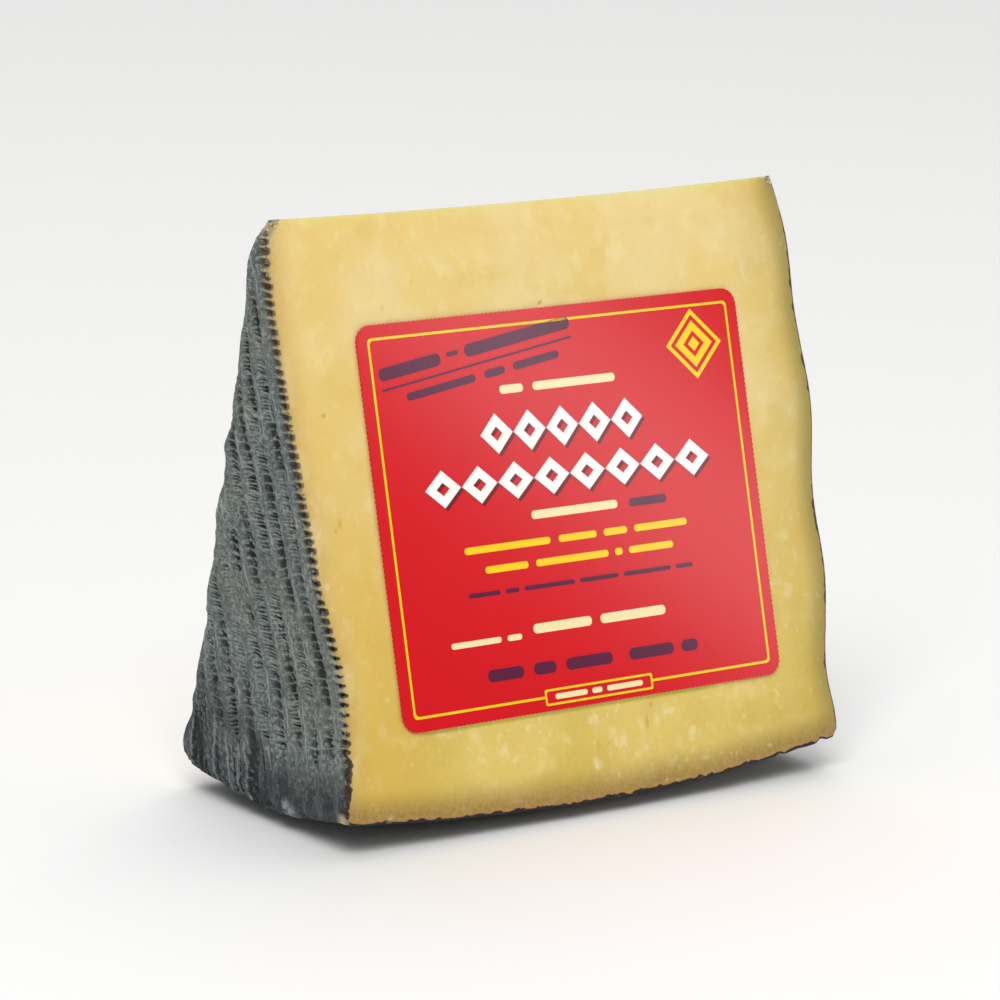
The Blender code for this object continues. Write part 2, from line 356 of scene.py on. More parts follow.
class Body:
    """A closed mesh in the making: points with the values their material reads, and triangles."""

    def __init__(self, *names):
        self.names = names
        self.points, self.values, self.faces, self.count = [], [], [], 0

    def add(self, points, *values):
        """Add points and say which numbers they got. Values that aren't given are 0."""
        table = np.zeros((len(points), len(self.names)))
        for k, value in enumerate(values):
            table[:, k] = value
        self.points.append(points)
        self.values.append(table)
        self.count += len(points)
        return np.arange(self.count - len(points), self.count)

    def zip(self, first, second, first_at=None, second_at=None):
        """Join two rows of points by triangles, in the order of the points' places along the rows."""
        first_at = even(len(first)) if first_at is None else first_at
        second_at = even(len(second)) if second_at is None else second_at
        order = np.argsort(np.concatenate((first_at[1:], second_at[1:])), kind="stable")
        on_first = order < len(first) - 1
        i = np.cumsum(on_first) - on_first
        j = np.cumsum(~on_first) - ~on_first
        after_first = first[np.minimum(i + 1, len(first) - 1)]
        after_second = second[np.minimum(j + 1, len(second) - 1)]
        a, b, c = first[i], second[j], np.where(on_first, after_first, after_second)
        apart = (a != b) & (b != c) & (a != c)
        self.faces.append(np.stack((a, b, c), 1)[apart])

    def zip_all(self, rows, places=None):
        """Join each row of points to the next one."""
        places = places or [None] * len(rows)
        for k in range(len(rows) - 1):
            self.zip(rows[k], rows[k + 1], places[k], places[k + 1])

    def build(self, name, material, node):
        """Make the finished piece, which stands for a node of the wedge."""
        mesh = bpy.data.meshes.new(name)
        points = np.concatenate(self.points) + APEX
        mesh.from_pydata(points.tolist(), [], np.concatenate(self.faces).tolist())
        for key, value in zip(self.names, np.concatenate(self.values).T):
            attribute = mesh.attributes.new(key, "FLOAT", "POINT")
            attribute.data.foreach_set("value", np.ascontiguousarray(value, np.float32))
        turned = bmesh.new()
        turned.from_mesh(mesh)
        bmesh.ops.recalc_face_normals(turned, faces=turned.faces)
        turned.to_mesh(mesh)
        turned.free()
        mesh.shade_smooth()
        mesh.set_sharp_from_angle(angle=math.radians(70))
        mesh.materials.append(material)
        piece = add_object(name, mesh)
        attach(piece, "root")
        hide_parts(node)


def add_object(name, data):
    made = bpy.data.objects.new(name, data)
    bpy.context.scene.collection.objects.link(made)
    return made


def column_places(width):
    """Where the columns of an end stand in a row this wide, from the front cut to the back one."""
    return np.append(np.arange(0, max(width - COLUMN_STEP / 2, TINY), COLUMN_STEP), width)


def inner_end(points, side, share, behind, gap):
    """Where a hidden side starts, under the border between a cut and an end."""
    middle = points.copy()
    depth = np.minimum(INSET_DEPTH, 0.7 * share * CUT_REACH)
    middle[:, 1] -= np.sign(points[:, 1]) * depth
    middle[:, 0] = side * (smooth_end(side, share, behind) - INSET_END - gap)
    return middle


def under_cuts(y):
    """y held far enough from both cuts at the rim for a point that is moved up from there."""
    return np.clip(y, y.min() + INSET_DEPTH, y.max() - INSET_DEPTH)


def add_end(side, material):
    """The rind on one end, a closed body that is thin everywhere."""
    body = Body("pit", "pale", "from_cut", "from_rim")
    width = 2 * CUT_REACH
    backs = [np.zeros(1)] + [column_places(width * row / ROWS) for row in range(1, ROWS + 1)]
    share = np.repeat(np.arange(ROWS + 1) / ROWS, [len(row) for row in backs])
    back = np.concatenate(backs)
    behind = np.clip(back / np.maximum(share * width, TINY), 0, 1)
    relief, pit, pale = cloth_print(side, share, behind)
    x = side * (smooth_end(side, share, behind) + relief)
    numbers = body.add(place(share, behind, x), pit, pale, back / MM, (1 - share) * WHEEL_RADIUS / MM)
    rows = np.split(numbers, np.cumsum([len(row) for row in backs])[:-1])
    body.zip_all(rows, backs)

    points = body.points[0]
    front = np.array([row[0] for row in rows])
    rear = np.array([row[-1] for row in rows])
    down = even(ROWS + 1)
    inner_front = body.add(inner_end(points[front], side, down, 0, 0))
    inner_rear = body.add(inner_end(points[rear], side, down, 1, 0))
    body.zip(front, inner_front)
    body.zip(rear, inner_rear)
    body.zip(inner_front, inner_rear)
    rim = points[rows[-1]].copy()
    rim[:, 0] = side * (smooth_end(side, down[-1:], behind[rows[-1]]) - INSET_END)
    rim[:, 1] = under_cuts(rim[:, 1])
    rim[:, 2] += INSET_DEPTH
    inner_rim = np.concatenate((inner_front[-1:], body.add(rim[1:-1]), inner_rear[-1:]))
    body.zip(rows[-1], inner_rim)
    body.zip(np.array((inner_front[-1], inner_rear[-1])), inner_rim)
    name = {LEFT: "rind_left", RIGHT: "rind_right"}[side]
    body.build(name, material, "cheese_wedge")


HOLE_REACH = 0.45 * MM  # how far the print's cells bite into the front cut
FAR_OFF = 99  # mm, by which the back cut is put out of reach of what lies below the label


def cut_numbers(body, behind, row_counts):
    """One cut's grid of points, as a list of columns from the left end to the right one."""
    columns = []
    all_shares = even(ROWS + 1)
    all_ends = line_ends(all_shares, behind)
    left_pit = cloth_print(LEFT, all_shares, behind)[1]
    for part, count in zip(CUT_PARTS, row_counts):
        step = ROWS // count
        share = all_shares[::step]
        ends = [values[::step] for values in all_ends]
        x = across_x(ends, part)
        points = place(share, behind, x)
        left = x - across_x(ends, 0)
        right = across_x(ends, 1) - x
        base = (1 - share) * WHEEL_RADIUS
        out = OUT * (1, 1 - 2 * behind, 1)
        points = points + cut_relief(behind, x, share, left, right, base)[:, None] * out
        below = (points @ DOWN - LABEL_DOWN - LABEL_HEIGHT / 2) / MM - FAR_OFF * behind
        hole = np.sqrt(np.clip(2 * left_pit[::step], 0, 1))
        hole = hole * (0.45 + 0.55 * ease((base / MM - 4) / 3))
        hole = ease(2.2 * hole - 2 * left / HOLE_REACH)
        columns.append(body.add(points, (x - ends[0]) / MM, right / MM, base / MM, hole, below))
    return columns


# Marks in the front cut: x, distance down from the top edge, two radii, mm, and how strong
HOLES = (
    (-0.6, 14.2, 0.4, 0.35, 0.7),
    (-26.3, 12.7, 0.35, 0.5, 0.3),
    (-21.1, 9.7, 0.5, 0.3, 0.25),
    (-37.5, 25.9, 0.3, 0.3, 0.9),
    (-37.1, 39.9, 0.45, 0.9, 0.55),
    (-37.8, 40.8, 0.4, 0.5, 0.45),
    (8.6, 71.9, 0.45, 1.3, 0.6),
    (9.5, 69.5, 0.6, 0.5, 0.45),
    (-0.1, 74, 0.5, 1.4, 0.3),
)
CHALK = (
    (10.2, 71.6, 0.6, 1.7, 0.35),
    (-0.6, 76.2, 0.8, 1.1, 0.6),
    (4.4, 73.5, 0.7, 1, 0.4),
    (7.9, 75.1, 0.6, 0.8, 0.35),
    (34.6, 12.2, 0.6, 1.2, 0.3),
    (33.4, 20.4, 0.9, 0.8, 0.2),
)


def cut_relief(behind, x, share, left, right, base):
    """How far a cut's surface stands out from its plane; never above it, so that a label lies flat."""
    along = share * WHEEL_RADIUS
    seed = 300 if behind == 0 else 350
    wave = 0.1 * layered(seed, x / (14 * MM), along / (18 * MM)) - 0.1
    crumb = 0.03 * layered(seed + 8, x / (1.4 * MM), along / (1.8 * MM))
    relief = wave + crumb
    if behind == 0:
        for hole_x, down, wide, tall, deep in HOLES:
            away = np.hypot((x / MM - hole_x) / wide, (along / MM - down) / tall)
            relief = relief - 0.5 * deep * np.exp(-(away**2))
    edge = np.minimum(np.minimum(left, right), np.minimum(base, along)) / (1.5 * MM)
    return relief * MM * ease(edge)


def add_paste(material):
    """The paste: both cuts, and hidden sides under the rinds."""
    body = Body("from_left", "from_right", "from_base", "hole", "below_label")
    fine = len(BORDER) - 1
    middle = len(CUT_PARTS) - 2 * fine
    front_counts = [ROWS] * fine + [ROWS // 2] * middle + [ROWS] * fine
    back_counts = [ROWS] * fine + [ROWS // 4] * middle + [ROWS] * fine
    front = cut_numbers(body, 0, front_counts)
    back = cut_numbers(body, 1, back_counts)
    for column, twin in zip(back, front):
        column[0] = twin[0]
    body.zip_all(front)
    body.zip_all(back)

    points = np.concatenate(body.points)
    down = even(ROWS + 1)
    corners = {}
    for side, column in ((LEFT, 0), (RIGHT, -1)):
        ring_numbers = []
        for behind, columns in ((0, front), (1, back)):
            border = columns[column]
            inner = inner_end(points[border], side, down, behind, SHELL_GAP)
            inner[-1, 2] += INSET_DEPTH
            numbers = body.add(inner)
            body.zip(border, numbers)
            ring_numbers.append(numbers)
            corners[side, behind] = numbers[-1:]
        body.zip(*ring_numbers)
    bottoms = []
    for behind, columns in ((0, front), (1, back)):
        border = np.array([column[-1] for column in columns])
        inner = points[border][1:-1].copy()
        inner[:, 1] -= np.sign(inner[:, 1]) * INSET_DEPTH
        inner[:, 2] += INSET_DEPTH
        numbers = np.concatenate((corners[LEFT, behind], body.add(inner), corners[RIGHT, behind]))
        body.zip(border, numbers)
        bottoms.append(numbers)
    body.zip(*bottoms)
    body.build("paste", material, "cheese_wedge")


# Crumbs pushed up by the knife at the ends of the top edge: x from the nearer end, how far below
# the edge, and size, mm
CRUMBS = {
    LEFT: ((0.35, 0.5, 0.5), (0.9, 0.9, 0.4), (0.2, 1.3, 0.35), (1.5, 0.45, 0.3)),
    RIGHT: ((0.3, 0.3, 0.5), (0.9, 0.15, 0.55), (1.6, 0.1, 0.4), (0.4, 1, 0.4), (0.9, 0.9, 0.35)),
}


def closed_row(numbers):
    """A row that ends where it starts. A lone point comes twice, and closes off what it is zipped to."""
    return np.append(numbers, numbers[0])


def add_crumbs(material):
    body = Body()
    rng = np.random.default_rng(61)
    turns = np.linspace(0, math.tau, 9)[:-1]
    circle = np.stack((np.cos(turns), np.sin(turns), 0 * turns), 1)
    for side, crumbs in CRUMBS.items():
        for inset, below, size in crumbs:
            share = np.full(1, below * MM / WHEEL_RADIUS)
            end = smooth_end(side, share, 0) + cloth_print(side, share, 0)[0]
            middle = place(share, 0, side * (end - inset * MM))[0] + 0.1 * MM * OUT
            stretch = rng.uniform(0.6, 1, 3) * size * MM / 2
            rows = [body.add(middle + [(0, 0, stretch[2])])]
            for height in (0.6, 0, -0.6):
                wide = math.sqrt(1 - height**2) * rng.uniform(0.75, 1.1, (8, 1))
                rows.append(body.add(middle + (circle * wide + (0, 0, height)) * stretch))
            rows.append(body.add(middle - [(0, 0, stretch[2])]))
            body.zip_all([closed_row(row) for row in rows])
    body.build("crumbs", material, "cheese_wedge")


def add_base(material):
    """The rind on the wheel's curved side, which the wedge stands on."""
    body = Body("pit", "pale", "from_cut", "from_rim")
    behinds = column_places(2 * CUT_REACH) / (2 * CUT_REACH)
    count = int(HEIGHT_AT_RIM / BASE_STEP)
    lines, places = [], []
    for k, behind in enumerate(behinds):
        parts = CUT_PARTS if k in (0, len(behinds) - 1) else even(count + 1)
        x = across_x(line_ends(np.ones(1), behind), parts)
        depth = -belt_print(x, (2 * behind - 1) * CUT_REACH) / (2 * STRAND_RELIEF)
        from_rim = np.minimum(x - x[0], x[-1] - x) / MM
        from_cut = min(behind, 1 - behind) * 2 * CUT_REACH / MM
        # pit, which the rind material darkens: the belt's grooves, where that is partly painted shade, and a
        # band beside each cut.
        pit = np.maximum(np.clip(depth, 0, 1), 1 - ease(from_cut / 6))
        points = place(np.ones(len(x)), behind, x)
        lines.append(body.add(points, pit, 0, 0.9 + 0.25 * from_cut, from_rim))
        places.append(parts)
    body.zip_all(lines, places)

    points = np.concatenate(body.points)
    inner_lines = []
    for border in (lines[0], lines[-1]):
        inner = points[border].copy()
        inner[:, 1] -= np.sign(inner[:, 1]) * INSET_DEPTH
        inner[:, 2] += INSET_DEPTH - SHELL_GAP
        inner[0, 0] += INSET_END
        inner[-1, 0] -= INSET_END
        numbers = body.add(inner)
        body.zip(border, numbers)
        inner_lines.append(numbers)
    body.zip(*inner_lines)
    for column, step in ((0, INSET_END), (-1, -INSET_END)):
        rim_line = np.array([line[column] for line in lines])
        inner = points[rim_line][1:-1].copy()
        inner[:, 0] += step
        inner[:, 1] = under_cuts(inner[:, 1])
        inner[:, 2] += INSET_DEPTH - SHELL_GAP
        numbers = np.concatenate((inner_lines[0][[column]], body.add(inner), inner_lines[1][[column]]))
        body.zip(rim_line, numbers)
        body.zip(numbers[[0, -1]], numbers)
    body.build("rind_base", material, "cheese_wedge")


# The label's paper and print. Places on it are measured from its middle: right, and up.
LABEL_LIFT = 0.04 * MM  # of its underside above the cut's plane
LABEL_THICK = 0.22 * MM
PRINT_THICK = 0.03 * MM
TOOTH_PITCH = 0.7 * MM
TOOTH_DEPTH = 0.15 * MM
LABEL_RINGS = 14
BAR_ROUNDING = 0.45  # a bar's corner radius, as a share of its height


def rounded_rectangle(width, height, corner, step):
    """Its outline, anticlockwise, with points about this far apart."""
    turn = max(3, round(corner * math.pi / 2 / step))
    arcs = []
    for quarter, (side, end) in enumerate(((1, 1), (-1, 1), (-1, -1), (1, -1))):
        centre = np.array((side * (width / 2 - corner), end * (height / 2 - corner)))
        angles = math.pi / 2 * (quarter + even(turn + 1))
        arcs.append(centre + corner * np.stack((np.cos(angles), np.sin(angles)), 1))
    points = []
    for arc, after in zip(arcs, arcs[1:] + arcs[:1]):
        way = after[0] - arc[-1]
        between = max(1, round(np.hypot(*way) / step))
        points += [arc, arc[-1] + way * even(between + 1)[1:-1, None]]
    return np.concatenate(points)


def on_label(flat, height):
    """Points in space of places on the label, at a height over the cut's plane."""
    right, up = flat[:, :1], flat[:, 1:]
    lifted = height + 0.01 * MM * noise(700, right / (30 * MM), up / (30 * MM))
    return (right + LABEL_OFFSET) * (1, 0, 0) + (LABEL_DOWN - up) * DOWN + lifted * OUT


def add_label(material):
    body = Body()
    outline = rounded_rectangle(LABEL_WIDTH, LABEL_HEIGHT, LABEL_CORNER, TOOTH_PITCH / 4)
    lengths = np.hypot(*(outline - np.roll(outline, 1, 0)).T)
    phase = np.cumsum(lengths) / lengths.sum()
    teeth = round(lengths.sum() / TOOTH_PITCH)
    saw = np.abs((phase * teeth) % 1 - 0.5) * 2
    edge = outline * (1 - TOOTH_DEPTH * saw / np.hypot(*outline.T))[:, None]
    inside = outline * (1 - 2 * TOOTH_DEPTH / (LABEL_HEIGHT / 2))
    faces = []
    for height in (LABEL_LIFT, LABEL_LIFT + LABEL_THICK):
        flat = [edge] + [inside * (1 - k / LABEL_RINGS) for k in range(LABEL_RINGS)] + [np.zeros((1, 2))]
        rows = [closed_row(body.add(on_label(places, height))) for places in flat]
        body.zip_all(rows)
        faces.append(rows[0])
    body.zip(*faces)
    body.build("label_sheet", material, "label")


def bar(left, right, middle, height, tilt):
    """A rounded bar from left to right, as an outline. Its middle line may climb to the right."""
    corner = min(BAR_ROUNDING * height, (right - left) / 2.01)
    outline = rounded_rectangle(right - left, height, corner, 0.25)
    turn = np.array(((math.cos(tilt), math.sin(tilt)), (-math.sin(tilt), math.cos(tilt))))
    return outline @ turn + ((left + right) / 2, middle)


def lozenge(x, y, width, height):
    return np.array(((1, 0), (0, 1), (-1, 0), (0, -1))) * (width / 2, height / 2) + (x, y)


def chain(left, right, middle, height, count):
    """Lozenges in a row, each with a small lozenge left open in it."""
    pitch = (right - left) / count
    for k in range(count):
        x = left + pitch * (k + 0.5)
        yield lozenge(x, middle, 0.97 * pitch, height), lozenge(x, middle, 0.36 * pitch, 0.36 * height)


# Each ink, and the darker tone that it lets through in places
INKS = {
    "yellow": ((255, 212, 26), (240, 190, 20)),
    "cream": ((250, 232, 178), (240, 216, 150)),
    "white": ((252, 250, 246), (240, 236, 228)),
    "shade": ((116, 10, 22), (100, 8, 18)),
    "plum": ((92, 28, 62), (80, 22, 52)),
    "red": ((216, 18, 29), (202, 13, 24)),
}


def print_shapes():
    """The shapes printed in each ink, as (outline, hole, level), in mm from the label's middle.

    The hole of a solid shape is a single point.
    """
    inks = {ink: [] for ink in INKS}

    def add(ink, outline, hole=None, level=1):
        inks[ink].append((outline, outline.mean(0)[None] if hole is None else hole, level))

    def bars(ink, middle, height, *spans, tilt=0, level=1):
        for left, right in spans:
            rise = math.tan(tilt) * ((left + right) / 2 - (spans[0][0] + spans[0][1]) / 2)
            add(ink, bar(left, right, middle + rise, height, tilt), level=level)

    border = rounded_rectangle(60.3, 50, 0.6, 0.8)
    add("yellow", border, border * (59.62 / 60.3, 49.32 / 50))
    box = rounded_rectangle(18.2, 2.2, 0.3, 0.4)
    box_place = (0.4, -24.9)
    add("red", box + box_place, level=2)
    add("yellow", box + box_place, box * (17.6 / 18.2, 1.6 / 2.2) + box_place, 3)
    bars("cream", -24.9, 0.75, (-7, -1.6), (-0.8, 0.9), (1.7, 7.8), level=3)

    for left, right, middle, height, count in ((-14, 13.4, 10.7, 5.4, 5), (-24, 23.9, 4.3, 5, 8)):
        for outline, hole in chain(left, right, middle, height, count):
            add("white", outline, hole, 2)
            add("shade", outline + (0.38, -0.42), hole + (0.38, -0.42))

    climb = math.radians(7.9)
    bars("plum", 20.7, 1.7, (-29, -18.8), (-14.9, 3), tilt=climb)
    bars("plum", 21.9, 0.6, (-17.8, -15.9), tilt=climb)
    bars("plum", 20.2, 0.28, (-28.9, 3.2), tilt=climb)
    bars("plum", 17.6, 1.05, (-25, -13.5), (-12, -8.6), (-7.2, 0.6), tilt=climb)
    bars("cream", 16.4, 1.15, (-9.9, -6), (-4.4, 9.5))
    bars("cream", -0.6, 1.15, (-7.2, 7.3))
    bars("plum", -0.7, 1.15, (9.3, 15.7))
    bars("yellow", -4.2, 0.95, (-18.8, -4.6), (-3.2, 3.2), (4.4, 8.4), (9.6, 18.7))
    bars("yellow", -7, 0.95, (-15.8, -8.7), (-7.4, 4.8), (5.9, 7.2), (8.3, 15.9))
    bars("plum", -10.1, 0.6, (-19, -13.8), (-12.9, -10.7), (-9.8, -1.4))
    bars("plum", -10.1, 0.6, (-0.5, 6), (6.9, 15), (15.9, 18.8))
    bars("cream", -16.3, 0.8, (-22.8, -14.6), (-13.6, -11.2))
    bars("cream", -15.6, 1.3, (-9.2, 0.6), (2.1, 13.2))
    bars("plum", -20.9, 1.6, (-17.5, -11.6), (-9.9, -6.2), (-4.5, 3.3), (6.2, 13.8), (15.2, 18))

    for size, hole_size in ((9.6, 8), (6.4, 3.6)):
        add("yellow", lozenge(23.7, 19.6, size, size), lozenge(23.7, 19.6, hole_size, hole_size))
    add("yellow", lozenge(23.7, 19.6, 2, 2))
    return inks


def add_print(materials):
    for ink, shapes in print_shapes().items():
        body = Body()
        for outline, hole, level in shapes:
            low = LABEL_LIFT + LABEL_THICK + (level - 1) * PRINT_THICK - PRINT_THICK / 2
            faces = []
            for height in (low, low + PRINT_THICK * 1.5):
                faces.append([closed_row(body.add(on_label(flat * MM, height))) for flat in (outline, hole)])
                body.zip(*faces[-1])
            for lower, upper in zip(*faces):
                body.zip(lower, upper)
        body.build("print_" + ink, materials[ink], "label")


def colour(red, green, blue):
    """A colour given in sRGB, 0 to 255, as the linear one that a shader takes."""
    parts = np.array((red, green, blue)) / 255
    linear = np.where(parts <= 0.04045, parts / 12.92, ((parts + 0.055) / 1.055) ** 2.4)
    return (*linear.tolist(), 1)


class Shader:
    """A Principled material, its tone so far, and short ways to build its nodes. Sizes are in mm."""

    def __init__(self, name, **sockets):
        self.material = bpy.data.materials.new(name)
        self.material.use_nodes = True
        self.tree = self.material.node_tree
        self.principled = self.tree.nodes["Principled BSDF"]
        self.place = self.node("TexCoord").outputs["Object"]
        self.tone = None
        self.set(**sockets)

    def feed(self, socket, value):
        if isinstance(value, bpy.types.NodeSocket):
            self.tree.links.new(value, socket)
        else:
            socket.default_value = value

    def node(self, kind, settings=(), **sockets):
        made = self.tree.nodes.new("ShaderNode" + kind)
        for key, value in dict(settings).items():
            setattr(made, key, value)
        for key, value in sockets.items():
            self.feed(made.inputs[key.replace("_", " ")], value)
        return made

    def attribute(self, name):
        return self.node("Attribute", {"attribute_name": name}).outputs["Fac"]

    def scaled(self, size, stretch=(1, 1, 1)):
        """The place on the object, in units of this size that may be stretched along the axes."""
        scale = [1 / (size * MM * part) for part in stretch]
        return self.node("Mapping", Vector=self.place, Scale=scale).outputs[0]

    def noise(self, size, detail=2, stretch=(1, 1, 1), roughness=0.5):
        """Noise from 0 to 1, with bumps of this size."""
        at = self.scaled(size, stretch)
        made = self.node("TexNoise", Vector=at, Scale=1, Detail=detail, Roughness=roughness)
        return made.outputs["Fac"]

    def flecks(self, size):
        """Distance from scattered points, in units of their spacing."""
        return self.node("TexVoronoi", Vector=self.scaled(size), Scale=1).outputs["Distance"]

    def ramp(self, value, low, high, start=0, end=1):
        """Value mapped smoothly from low..high to start..end, and held there."""
        made = self.node("MapRange", {"interpolation_type": "SMOOTHSTEP"}, Value=value)
        for index, number in zip(range(1, 5), (low, high, start, end)):
            made.inputs[index].default_value = number
        return made.outputs["Result"]

    def math(self, operation, first, second=0):
        made = self.node("Math", {"operation": operation})
        self.feed(made.inputs[0], first)
        self.feed(made.inputs[1], second)
        return made.outputs[0]

    def vector(self, operation, first, second=(0, 0, 0)):
        made = self.node("VectorMath", {"operation": operation})
        self.feed(made.inputs[0], first)
        self.feed(made.inputs[1], second)
        return made.outputs["Value" if operation in ("LENGTH", "DISTANCE") else "Vector"]

    def times(self, value, *factors):
        for factor in factors:
            value = self.math("MULTIPLY", value, factor)
        return value

    def mix(self, share, first, second):
        """A blend of two tones. Each is a socket, or red, green and blue from 0 to 255."""
        made = self.node("Mix", {"data_type": "RGBA"})
        for index, value in ((0, share), (6, first), (7, second)):
            self.feed(made.inputs[index], colour(*value) if isinstance(value, tuple) else value)
        return made.outputs[2]

    def paint(self, share, tone):
        """Lay a tone over what the surface has so far."""
        self.tone = self.mix(share, self.tone, tone)

    def bump(self, height, distance, under=None):
        made = self.node("Bump", Height=height, Distance=distance * MM)
        if under is not None:
            self.feed(made.inputs["Normal"], under)
        return made.outputs["Normal"]

    def set(self, **sockets):
        for key, value in sockets.items():
            self.feed(self.principled.inputs[key.replace("_", " ")], value)

    def finish(self, **sockets):
        self.set(Base_Color=self.tone, **sockets)
        return self.material


def marks(shader, table, uneven):
    """1 within any of a table's marks, fading out around it, with an uneven outline."""
    total = 0
    for x, down, wide, tall, strong in table:
        spot = [float(part) for part in APEX + (x * MM, 0, 0) + down * MM * DOWN]
        away = shader.vector("SUBTRACT", shader.place, spot)
        away = shader.vector("MULTIPLY", away, (1 / (wide * MM), 0.3 / (tall * MM), 1 / (tall * MM)))
        reach = shader.math("ADD", shader.vector("LENGTH", away), shader.times(uneven, 1.6))
        total = shader.math("MAXIMUM", shader.ramp(reach, 0.6, 2.2, strong, 0), total)
    return total


def paste_material():
    shader = Shader("paste", IOR=1.45, Subsurface_Weight=0.5, Subsurface_Scale=0.0014,
                    Subsurface_Radius=(1, 0.62, 0.25))
    noise, ramp, times, paint = shader.noise, shader.ramp, shader.times, shader.paint
    left, right, base = (shader.attribute(name) for name in ("from_left", "from_right", "from_base"))
    # The ground tone goes from high, by the top edge, to low, towards the rim: partly the paste turning more
    # yellow, partly painted shade, darker lower down as if lit from above.
    high = shader.mix(ramp(noise(14, 3), 0.38, 0.62), (236, 208, 129), (238, 215, 150))
    low = shader.mix(ramp(noise(12, 3), 0.38, 0.62), (216, 190, 91), (227, 202, 109))
    shader.tone = shader.mix(ramp(base, 4, 52, 1, 0), high, low)
    clouds = ramp(noise(3.4, 3), 0.5, 0.75, 0, 0.32)
    paint(clouds, (248, 232, 176))
    strokes = ramp(noise(1.1), 0.56, 0.7, 0, 0.12)
    paint(strokes, (250, 232, 182))
    smears = ramp(noise(7, 3, (1.2, 1, 1)), 0.47, 0.3, 0, 0.35)
    paint(smears, (222, 192, 94))
    away = shader.math("ADD", shader.flecks(5.5), times(noise(1.1, 4), 0.6))
    flecks = times(ramp(away, 0.36, 0.56, 0.32, 0), ramp(base, 25, 70, 1, 0.45))
    paint(flecks, (250, 240, 200))

    ripe = times(ramp(left, 1.6, 4.5), ramp(left, 5, 20, 0.55, 0), ramp(base, 20, 74, 1, 0.15))
    paint(ripe, (222, 180, 70))
    fuzz = noise(0.7, 3, (1, 1, 1), 0.6)
    rough_left = shader.math("ADD", left, times(fuzz, 1.2))
    paint(ramp(rough_left, 0.8, 5.5, 0.66, 0), (206, 166, 82))
    pale = ramp(noise(5), 0.48, 0.6, 0, 0.3)
    pale = times(pale, ramp(rough_left, 1.6, 3.4, 1, 0))
    paint(pale, (236, 216, 170))
    paint(ramp(rough_left, 0.5, 1.9, 0.7, 0), (166, 144, 106))
    # Dark cells where the cloth's pits bite into the flat cut: partly their own brown, partly painted shade
    # of their hollows.
    hole = shader.math("ADD", shader.attribute("hole"), ramp(fuzz, 0.3, 0.7, 0.08, -0.08))
    inside = shader.mix(ramp(base, 22, 46), (54, 38, 27), (116, 94, 70))
    paint(ramp(hole, 0.34, 0.6, 0, 0.9), inside)
    # Painted shade where the cut rolls off: darker and more olive towards the right end, towards the rim
    # near that end, and within 5 mm of the rim all along.
    paint(ramp(right, 0, 14, 0.44, 0), (184, 158, 56))
    paint(ramp(right, 0.2, 4.6, 0.85, 0), (162, 142, 72))
    lower = times(ramp(base, 3, 13, 0.3, 0), ramp(right, 4, 32, 1, 0))
    paint(lower, (184, 158, 56))
    paint(ramp(base, 0.3, 5, 0.8, 0), (146, 112, 38))
    grain = ramp(noise(0.4, 3, (1, 1, 1.6), 0.7), 0.36, 0.64)
    grain = shader.mix(grain, (124, 98, 50), (222, 192, 124))
    paint(ramp(base, 0.4, 4.2, 0.2, 0), grain)

    under = ramp(noise(1.6, 2, (1, 60, 60)), 0.42, 0.66, 0.14, 0.42)
    over = shader.math("SUBTRACT", base, under)
    crust = ramp(noise(0.8), 0.42, 0.56, 0.2, 0.9)
    paint(times(ramp(over, 0.25, 0.7, 1, 0), crust), (186, 138, 80))
    paint(ramp(over, 0.08, 0.2, 1, 0), (26, 10, 5))
    beside = ramp(noise(2.2, 2, (60, 1, 1)), 0.45, 0.7, 0, 0.4)
    beside = ramp(shader.math("SUBTRACT", right, beside), 0.1, 0.3, 0.9, 0)
    beside = times(beside, ramp(base, 71, 75, 1, 0))
    paint(beside, (54, 34, 20))
    corner = shader.math("MINIMUM", left, right)
    corner = shader.math("SUBTRACT", shader.math("SUBTRACT", base, corner), times(fuzz, 3))
    paint(ramp(corner, 75.8, 77, 0, 0.6), (246, 236, 208))

    yolk = marks(shader, HOLES, fuzz)
    paint(ramp(yolk, 0, 0.6, 0, 0.85), (212, 168, 58))
    paint(ramp(yolk, 0.68, 0.85, 0, 0.85), (116, 82, 26))
    chalk = marks(shader, CHALK, fuzz)
    paint(chalk, (246, 234, 192))
    below = shader.math("SUBTRACT", shader.attribute("below_label"), times(fuzz, 0.1))
    # An olive line painted just below the label's lower edge, away from both ends of the cut.
    label_edge_olive = times(ramp(below, 0.06, 0.2), ramp(below, 0.34, 0.6, 0.8, 0))
    paint(times(label_edge_olive, ramp(left, 11, 14), ramp(right, 18, 24)), (194, 188, 62))

    some = ramp(noise(10), 0.36, 0.6)
    grains = ramp(noise(1.2, 1, (1, 1, 1), 0.4), 0.6, 0.84)
    crystals = times(grains, some, ramp(base, 8, 60, 0.8, 0.3))
    paint(times(crystals, 0.5), (248, 236, 186))
    fine = noise(0.5, 4, (1, 1, 1), 0.6)
    rough = ramp(noise(3, 3), 0.3, 0.7, 0.42, 0.58)
    normal = shader.bump(fine, 0.08)
    normal = shader.bump(clouds, 0.1, under=normal)
    normal = shader.bump(crystals, 0.06, under=normal)
    return shader.finish(Roughness=rough, Normal=normal)


def crumb_material():
    shader = Shader("crumb", IOR=1.45, Subsurface_Weight=0.4, Subsurface_Scale=0.0008,
                    Subsurface_Radius=(1, 0.7, 0.4))
    grain = shader.noise(0.3, 3)
    shader.tone = shader.mix(shader.ramp(grain, 0.4, 0.6), (178, 166, 138), (230, 217, 184))
    return shader.finish(Roughness=0.6, Normal=shader.bump(grain, 0.06))


# Mould low on the left end: where its spots are, and their inner and outer radii, mm
MOULD = (((-42, -6.2, 3.3), 0.4, 2.2), ((-42, 12.7, 6), 0.1, 0.8))


def near(shader, spot, inner, outer):
    """1 within the inner distance of a spot, fading to 0 at the outer one."""
    away = shader.vector("DISTANCE", shader.place, [part * MM for part in spot])
    return shader.ramp(away, inner * MM, outer * MM, 1, 0)


